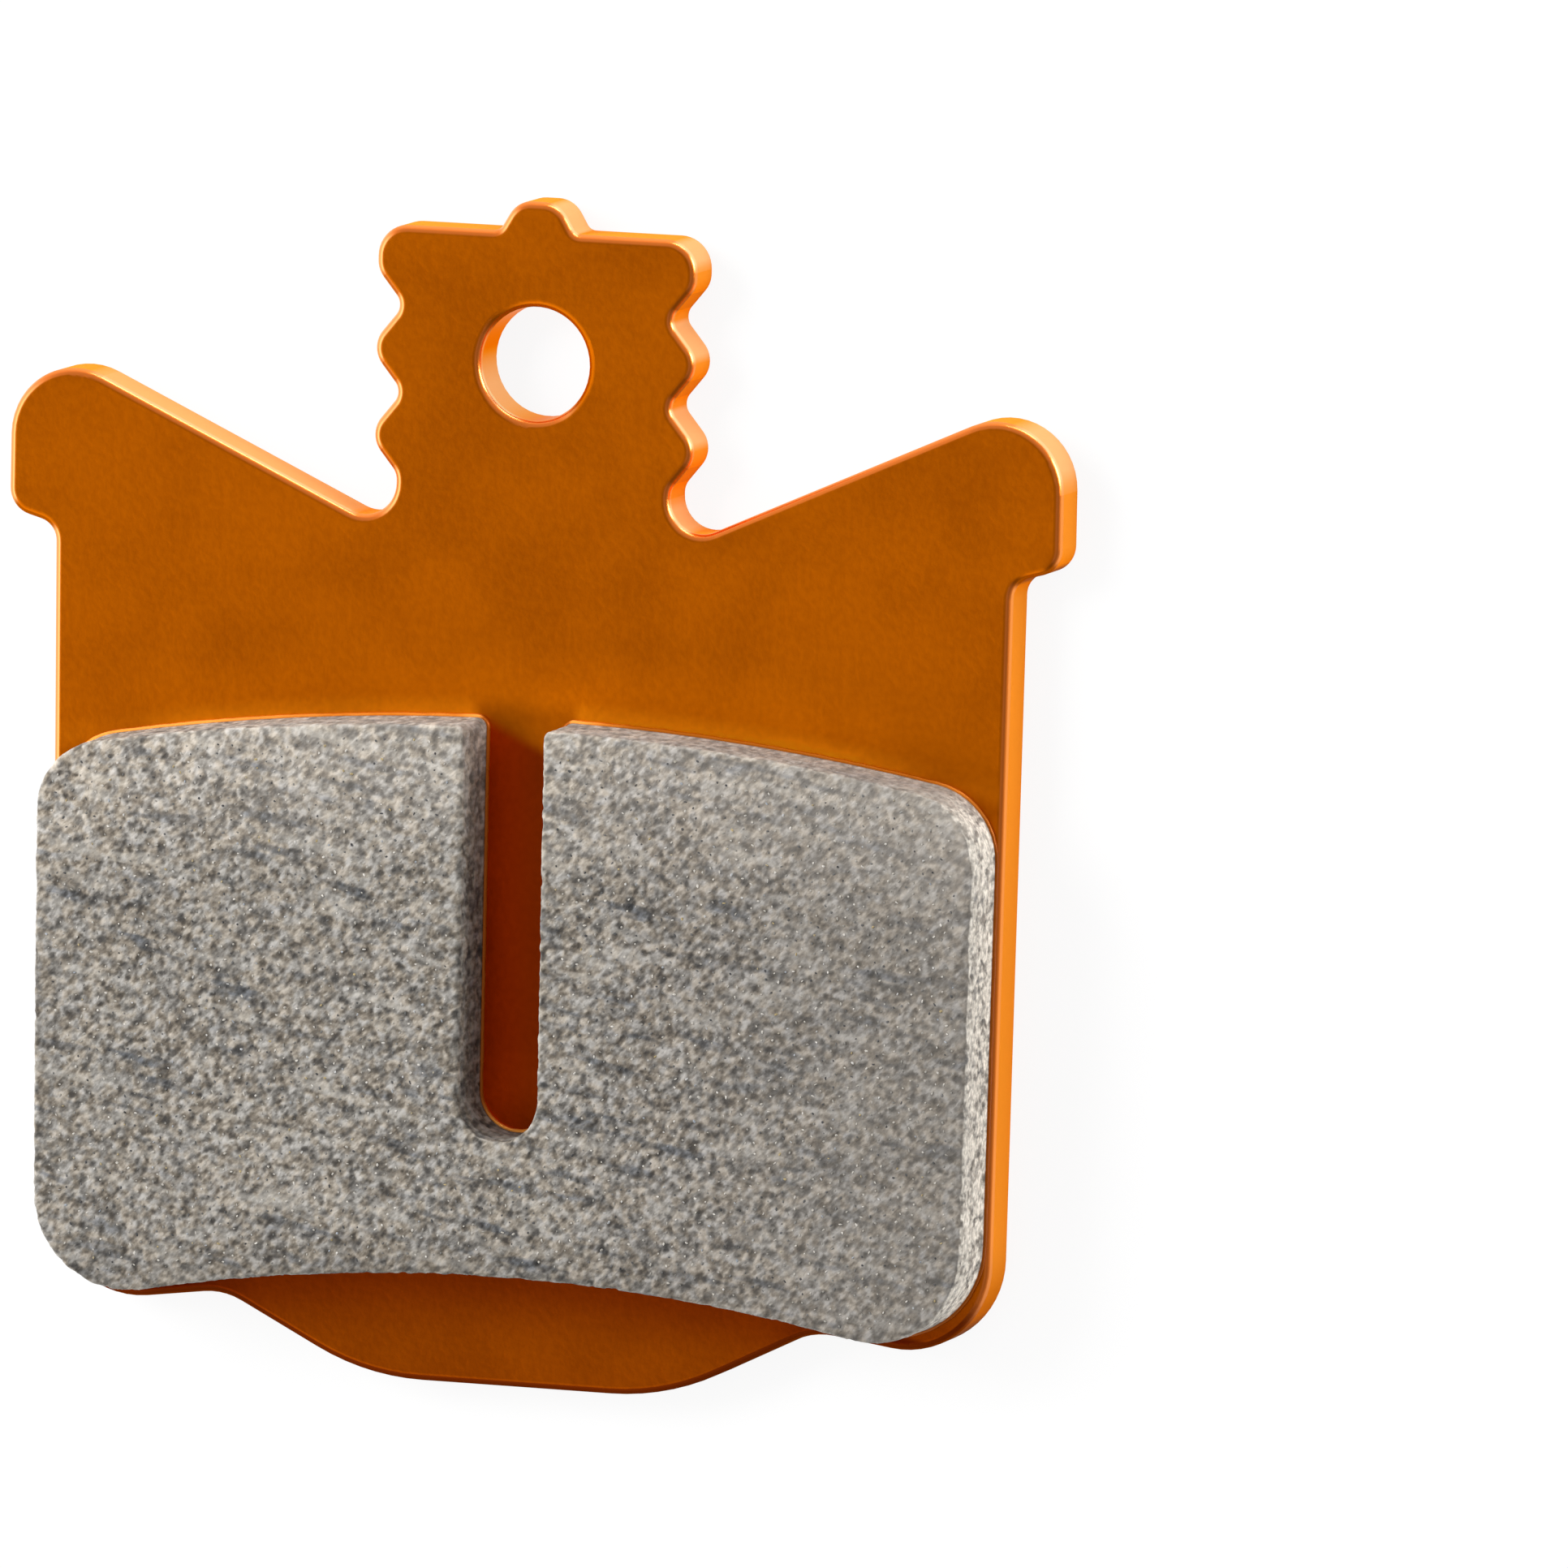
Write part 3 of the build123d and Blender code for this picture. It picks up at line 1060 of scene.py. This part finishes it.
@dataclass
class Slab:
    """A flat block on an outline, with upright walls and an eased top edge."""

    outline: np.ndarray
    low: float
    high: float
    ease: float
    ease_steps: int
    wall_step: float
    top_step: Optional[float] = None
    hold_height: float = 0.25 * MM
    rim_width: float = 0.35 * MM
    rim_drop: float = 2.5
    top_drop: float = 0.3
    row_share: float = math.sqrt(0.75)
    shake: float = 0.18
    border_gap: float = 0.6
    seed: int = 11

    def inset(self, depth: float) -> np.ndarray:
        """Moves the outline inwards.

        Args:
            depth: How far it moves.

        Returns:
            Points (n, 2) of the moved outline.
        """
        ahead = np.roll(self.outline, -1, axis=0) - np.roll(self.outline, 1, axis=0)
        outward = np.column_stack([ahead[:, 1], -ahead[:, 0]])
        outward /= np.linalg.norm(outward, axis=1)[:, None]
        return self.outline - depth * outward

    def rings(self) -> List[np.ndarray]:
        """Lays rings of points round the block, from the foot to the end of the eased edge.

        Returns:
            Points (n, 3) of each ring.
        """
        wall_top = self.high - self.ease
        steps = max(1, round((wall_top - self.low) / self.wall_step))
        levels = [(0.0, z) for z in np.linspace(self.low, wall_top, steps + 1)]
        for angle in np.linspace(0.0, math.pi / 2, self.ease_steps + 1)[1:]:
            levels.append((self.ease * (1 - math.cos(angle)), wall_top + self.ease * math.sin(angle)))
        return [np.column_stack([self.inset(d), np.full(len(self.outline), z)]) for d, z in levels]

    def top_points(self, border: np.ndarray) -> np.ndarray:
        """Points of a slightly shaken triangular grid inside the top's border.

        Args:
            border: Points of the last ring.

        Returns:
            Points (n, 2) that keep off the border.
        """
        step = self.top_step
        rng = np.random.default_rng(self.seed)
        low, high = border.min(axis=0), border.max(axis=0)
        across = np.arange(low[0], high[0], step)
        up = np.arange(low[1], high[1], step * self.row_share)
        rows, columns = np.meshgrid(np.arange(len(up)), np.arange(len(across)), indexing="ij")
        grid = np.column_stack([(across[columns] + 0.5 * step * (rows % 2)).ravel(), up[rows].ravel()])
        grid += rng.uniform(-self.shake, self.shake, grid.shape) * step
        return grid[self.border_distance(border, grid) > self.border_gap * step]

    @staticmethod
    def border_distance(border: np.ndarray, points: np.ndarray) -> np.ndarray:
        """Measures how far points lie from a border.

        Args:
            border: Points (n, 2) of the border.
            points: Points (m, 2).

        Returns:
            Distance of each point from the nearest one of the border.
        """
        tree = kdtree.KDTree(len(border))
        for index, (x, y) in enumerate(border):
            tree.insert((x, y, 0.0), index)
        tree.balance()
        return np.array([tree.find((x, y, 0.0))[2] for x, y in points])

    def build(self, name: str) -> Mesh:
        """Builds the closed mesh, with the numbers that its finish and relief read.

        Args:
            name: Name of the mesh.

        Returns:
            The mesh. It carries hold, 0 at the foot, wall, 1 on the walls, and rim, 1 at the top's edge.
        """
        rings = self.rings()
        count = len(self.outline)
        points = np.concatenate(rings)
        faces: List[List[int]] = [list(range(count - 1, -1, -1))]
        for ring in range(len(rings) - 1):
            base = ring * count
            for i in range(count):
                j = (i + 1) % count
                faces.append([base + i, base + j, base + count + j, base + count + i])
        border = rings[-1][:, :2]
        first = (len(rings) - 1) * count
        if self.top_step is None:
            faces.append(list(range(first, first + count)))
        else:
            inner = self.top_points(border)
            flat = [Vector(p) for p in np.concatenate([border, inner])]
            made = delaunay_2d_cdt(flat, [], [list(range(count))], FILL_INSIDE, MESH_EPSILON)
            _, _, triangles, sources, _, _ = made
            tops = np.array([[sources[i][0] for i in face] for face in triangles])
            kept = np.unique(tops[tops >= count])
            place = np.arange(len(flat))
            place[kept] = count + np.arange(len(kept))
            faces += (first + place[tops]).tolist()
            inside = inner[kept - count]
            points = np.concatenate([points, np.column_stack([inside, np.full(len(inside), self.high)])])
        mesh = bpy.data.meshes.new(name)
        mesh.from_pydata(points.tolist(), [], faces)
        mesh.validate()
        used = np.array([v.co for v in mesh.vertices])
        rise = np.clip((used[:, 2] - self.low) / self.hold_height, 0.0, 1.0)
        on_top = used[:, 2] > self.high - self.top_drop * self.ease
        gap = np.zeros(len(used))
        gap[first + count:] = self.border_distance(border, used[first + count:, :2])
        rim = np.exp(-gap / self.rim_width) * (used[:, 2] > self.high - self.rim_drop * self.ease)
        for label, values in (("hold", rise), ("wall", 1.0 - on_top), ("rim", rim)):
            mesh.attributes.new(label, "FLOAT", "POINT").data.foreach_set("value", values.astype(np.float32))
        return mesh


@dataclass
class BackingPlate:
    """The stamped plate, which keeps its CAD mesh."""

    finish: CopperFinish = field(default_factory=CopperFinish)

    def dress(self) -> None:
        """Gives the plate its finish."""
        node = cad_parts[CadNode.PLATE.value]
        node.data.materials.clear()
        node.data.materials.append(self.finish.material())
        LOG.info("%s: %d faces of the CAD mesh", node.name, len(node.data.polygons))


@dataclass
class BondRim:
    """The bond layer, with a rounded and slightly ragged rim."""

    finish: BondFinish = field(default_factory=BondFinish)
    spacing: float = 0.1 * MM
    wall_step: float = 0.06 * MM
    rim_radius: float = 0.09 * MM
    rim_steps: int = 5
    ragged_size: float = 0.5 * MM
    ragged_depth: float = 0.035 * MM
    seed: float = 4.0

    def build(self) -> Object:
        """Builds the layer on its CAD outline and roughens its rim.

        Returns:
            The finished piece.
        """
        low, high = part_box(CadNode.BOND.value)
        outline = foot_outline(CadNode.BOND, self.spacing)
        slab = Slab(outline, low.z, high.z, self.rim_radius, self.rim_steps, self.wall_step)
        mesh = self.roughen(slab.build("bond_rim"))
        return make_piece("bond_rim", mesh, CadNode.BOND)

    def roughen(self, mesh: Mesh) -> Mesh:
        """Moves the rim in and out along the layer by a Geometry Nodes tree.

        Args:
            mesh: The smooth layer.

        Returns:
            The layer with its ragged rim.
        """
        tree = GeoTree("ragged_rim")
        size = tree.number("Ragged size", self.ragged_size)
        depth = tree.number("Ragged depth", self.ragged_depth)
        seed = tree.number("Seed", self.seed)
        flat = tree.vector("MULTIPLY", tree.node("GeometryNodeInputNormal").out(), (1.0, 1.0, 0.0))
        wave = (tree.noise(tree.position(), size, seed=seed) - 0.5) * 2.0 * depth
        return tree.run(tree.pushed(tree.scaled(flat, wave)), self.finish.material(), mesh)


@dataclass
class FrictionLining:
    """The sintered block: a matrix with real relief, and chips worn flush with its rubbing face."""

    matrix_finish: SinterFinish = field(default_factory=SinterFinish)
    grain_finish: GrainFinish = field(default_factory=GrainFinish)
    spacing: float = 0.112 * MM
    edge_radius: float = 0.2 * MM
    edge_steps: int = 4
    grain_size: float = 0.24 * MM
    grain_depth: float = 0.035 * MM
    pit_size: float = 0.40 * MM
    pit_depth: float = 0.05 * MM
    pit_detail: float = 1.0
    pit_range: Span = (0.56, 0.70)
    pit_seed: float = 9.0
    pit_shade: float = 0.6
    break_size: float = 0.5 * MM
    break_depth: float = 0.04 * MM
    break_range: Span = (0.46, 0.66)
    break_seed: float = 17.0
    relief_range: Span = (0.15, 0.8)
    chip_spacing: float = 0.29 * MM
    chip_density: float = 3.0e7
    chip_border: Span = (0.2, 0.6)
    chip_radius: float = 0.055 * MM
    chip_least: Triple = (0.6, 0.45, 0.35)
    chip_most: Triple = (1.55, 1.0, 0.75)
    chip_tilt: float = 0.6
    shape_seed: float = 1.0
    tint_seed: float = 2.0
    seed: int = 23

    def build(self) -> List[Object]:
        """Builds the matrix and the chips in it.

        Returns:
            The two finished pieces.
        """
        low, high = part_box(CadNode.LINING.value)
        outline = foot_outline(CadNode.LINING, self.spacing)
        slab = Slab(outline, low.z, high.z, self.edge_radius, self.edge_steps, self.spacing, self.spacing)
        matrix = self.relief(slab.build("lining_matrix"))
        chips = self.chips(matrix, high.z)
        return [
            make_piece("lining_matrix", matrix, CadNode.LINING),
            make_piece("lining_chips", chips, None),
        ]

    def relief(self, mesh: Mesh) -> Mesh:
        """Sinks pits between grains that reach the block's faces, and breaks the edge, by a node tree.

        Args:
            mesh: The smooth block.

        Returns:
            The block with its grain.
        """
        tree = GeoTree("sinter_relief")
        grain_size = tree.number("Grain size", self.grain_size)
        grain_depth = tree.number("Grain depth", self.grain_depth)
        pit_size = tree.number("Pit size", self.pit_size)
        pit_depth = tree.number("Pit depth", self.pit_depth)
        break_size = tree.number("Break size", self.break_size)
        break_depth = tree.number("Break depth", self.break_depth)
        seed = tree.number("Seed", float(self.seed))
        point = tree.position()
        normal = tree.node("GeometryNodeInputNormal").out()
        grain = tree.noise(point, grain_size, seed=seed)
        pit = tree.noise(point, pit_size, self.pit_detail, seed + self.pit_seed).step(*self.pit_range)
        broken = tree.noise(point, break_size, seed=seed + self.break_seed).step(*self.break_range)
        sunk = (grain - 1.0) * 2.0 * grain_depth - pit * pit_depth
        height = (sunk - broken * tree.read("rim") * break_depth) * tree.read("hold")
        pushed = tree.pushed(tree.scaled(normal, height))
        # The relief kept here makes the matrix's colour darker in the pits: painted shade.
        kept = tree.store(pushed, "relief", (grain - pit * self.pit_shade).step(*self.relief_range))
        return tree.run(kept, self.matrix_finish.material(), mesh)

    def chips(self, mesh: Mesh, top: float) -> Mesh:
        """Scatters low chips over the matrix by a Geometry Nodes tree, worn flush with the rubbing face.

        Args:
            mesh: The block that they sit in.
            top: Height of the rubbing face, which nothing stands above.

        Returns:
            The chips.
        """
        tree = GeoTree("sinter_chips")
        spacing = tree.number("Chip spacing", self.chip_spacing)
        radius = tree.number("Chip radius", self.chip_radius)
        seed = tree.number("Seed", self.seed)
        inputs = {
            "Mesh": tree.geometry(),
            "Distance Min": spacing,
            "Density Max": self.chip_density,
            "Density Factor": (1.0 - tree.read("wall")) * tree.read("rim").fall(*self.chip_border),
            "Seed": seed,
        }
        spread = tree.node("GeometryNodeDistributePointsOnFaces", {"distribute_method": "POISSON"}, inputs)
        least, most = (-self.chip_tilt, -self.chip_tilt, 0.0), (self.chip_tilt, self.chip_tilt, 2 * math.pi)
        turn = tree.node("FunctionNodeEulerToRotation", None, {0: tree.random(least, most, seed)}).out()
        inputs = {"Rotation": spread.out("Rotation"), "Rotate By": turn}
        laid = tree.node("FunctionNodeRotateRotation", {"rotation_space": "LOCAL"}, inputs).out()
        shape = tree.random(self.chip_least, self.chip_most, seed + self.shape_seed)
        stone = tree.node("GeometryNodeMeshIcoSphere", None, {"Radius": 1.0, "Subdivisions": 1}).out("Mesh")
        inputs = {
            "Points": spread.out("Points"),
            "Instance": stone,
            "Rotation": laid,
            "Scale": tree.scaled(shape, radius),
        }
        placed = tree.node("GeometryNodeInstanceOnPoints", None, inputs).out()
        tint = tree.node("FunctionNodeRandomValue", {"data_type": "FLOAT"}, {"Seed": seed + self.tint_seed})
        kept = tree.store(placed, "tint", tint.out("Value"), "INSTANCE")
        real = tree.node("GeometryNodeRealizeInstances", None, {"Geometry": kept}).out()
        flush = tree.capped(real, tree.number("Rubbing face", top))
        return tree.run(flush, self.grain_finish.material(), mesh)


@dataclass(frozen=True)
class Lamp:
    """A soft area lamp that looks at the middle of the pad, at an azimuth in degrees from +X towards +Y."""

    name: str
    azimuth: float
    elevation: float
    width: float
    height: float
    radiance: float
    distance: float = 0.5
    mirrored: bool = True

    def place(self) -> None:
        """Puts the lamp into the scene."""
        data = bpy.data.lights.new(self.name, "AREA")
        data.shape = "RECTANGLE"
        data.size = self.width
        data.size_y = self.height
        data.energy = self.radiance * math.pi * self.width * self.height
        lamp = bpy.data.objects.new(self.name, data)
        lamp.visible_glossy = self.mirrored
        around, up = math.radians(self.azimuth), math.radians(self.elevation)
        away = Vector((math.cos(up) * math.cos(around), math.cos(up) * math.sin(around), math.sin(up)))
        lamp.location = away * self.distance
        lamp.rotation_euler = away.to_track_quat("Z", "Y").to_euler()
        show(lamp)


@dataclass(frozen=True)
class Shot:
    """The camera, where it stands to see the pad as the photograph does."""

    yaw: float = 18.68
    pitch: float = 7.34
    roll: float = 1.17
    aim: Tuple[float, float] = (9.2046 * MM, 0.8172 * MM)
    distance: float = 0.9
    pixels_per_metre: float = 34286.7
    sensor: float = 36.0
    clip_start: float = 0.01

    def place(self) -> None:
        """Puts the camera right of the rubbing face's normal and above it, turned by its roll."""
        yaw, pitch, roll = (math.radians(a) for a in (self.yaw, self.pitch, self.roll))
        back = Vector((math.sin(yaw) * math.cos(pitch), math.sin(pitch), math.cos(yaw) * math.cos(pitch)))
        level = Vector((math.cos(yaw), 0.0, -math.sin(yaw)))
        rise = back.cross(level)
        right = math.cos(roll) * level + math.sin(roll) * rise
        up = math.cos(roll) * rise - math.sin(roll) * level
        data = bpy.data.cameras.new("camera")
        data.sensor_width = self.sensor
        data.lens = self.pixels_per_metre * self.distance / IMAGE_SIZE * self.sensor
        data.clip_start = self.clip_start
        camera = bpy.data.objects.new("camera", data)
        turned = Matrix((right, up, back)).transposed().to_4x4()
        camera.matrix_world = Matrix.Translation(Vector((*self.aim, 0.0)) + back * self.distance) @ turned
        show(camera)
        bpy.context.scene.camera = camera


@dataclass
class Studio:
    """White table, soft lamps and a sky that is white at the horizon and greyer overhead."""

    floor_side: float = 3.0
    horizon: float = 1.0
    low_right: float = 0.45
    left: float = 2.0
    top: float = 0.6
    ring: float = 0.25
    zenith: float = 0.45
    left_slant: float = -0.6
    left_range: Span = (0.2, 0.8)
    top_range: Span = (0.1, 0.5)
    skyline_across: float = -0.6
    skyline_along: float = 0.8
    skyline_range: Span = (-0.6, 0.3)
    ring_range: Span = (0.2, 0.5)
    zenith_range: Span = (0.75, 0.93)
    white: Colour = (1.0, 1.0, 1.0)
    lamps: Tuple[Lamp, ...] = (
        Lamp("window", 150.0, 38.0, width=0.30, height=0.30, radiance=14.0, distance=0.6, mirrored=False),
        Lamp("right_rim", 20.0, 11.0, width=0.26, height=0.14, radiance=8.0),
        Lamp("top_strip", 78.0, 8.0, width=0.30, height=0.06, radiance=7.0),
    )

    def build(self) -> None:
        """Puts up the table, the sky, the lamps and the camera, and sets plain colours."""
        self.floor()
        self.sky()
        for lamp in self.lamps:
            lamp.place()
        Shot().place()
        bpy.context.scene.view_settings.view_transform = "Standard"

    def floor(self) -> None:
        """Lays the table under the plate's back."""
        half = self.floor_side / 2
        mesh = bpy.data.meshes.new("table")
        corners = [(-half, -half, 0.0), (half, -half, 0.0), (half, half, 0.0), (-half, half, 0.0)]
        mesh.from_pydata(corners, [], [(0, 1, 2, 3)])
        mesh.materials.append(FloorFinish().material())
        table = bpy.data.objects.new("table", mesh)
        show(table)

    def sky(self) -> None:
        """Makes the sky: white to the camera, and a soft gradient to everything else."""
        world = bpy.data.worlds.new("studio_sky")
        bpy.context.scene.world = world
        world.use_nodes = True
        bench = Bench(world.node_tree)
        across, along, height = bench.parts(bench.node("ShaderNodeTexCoord").out("Generated"))
        leftwards = (along * self.left_slant - across).step(*self.left_range)
        topwards = along.step(*self.top_range) * (1.0 - leftwards)
        side = leftwards.between(self.ring, self.left) + topwards * (self.top - self.ring)
        bearing = along * self.skyline_along + across * self.skyline_across
        skyline = bearing.step(*self.skyline_range).between(self.low_right, self.horizon)
        low = height.step(*self.ring_range).between(skyline, side)
        level = height.step(*self.zenith_range).between(low, self.zenith)
        colour = bench.node("ShaderNodeCombineColor", None, {0: level, 1: level, 2: level}).out()
        seen = bench.node("ShaderNodeLightPath").out("Is Camera Ray")
        shown = bench.mix(seen, colour, self.white)
        background = bench.node("ShaderNodeBackground", None, {"Color": shown}).out()
        bench.node("ShaderNodeOutputWorld", None, {"Surface": background})


def main() -> None:
    """Dresses the plate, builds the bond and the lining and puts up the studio."""
    logging.basicConfig(level=logging.INFO, format="%(name)s %(message)s")
    BackingPlate().dress()
    BondRim().build()
    FrictionLining().build()
    Studio().build()


if __name__ == "__main__":
    main()
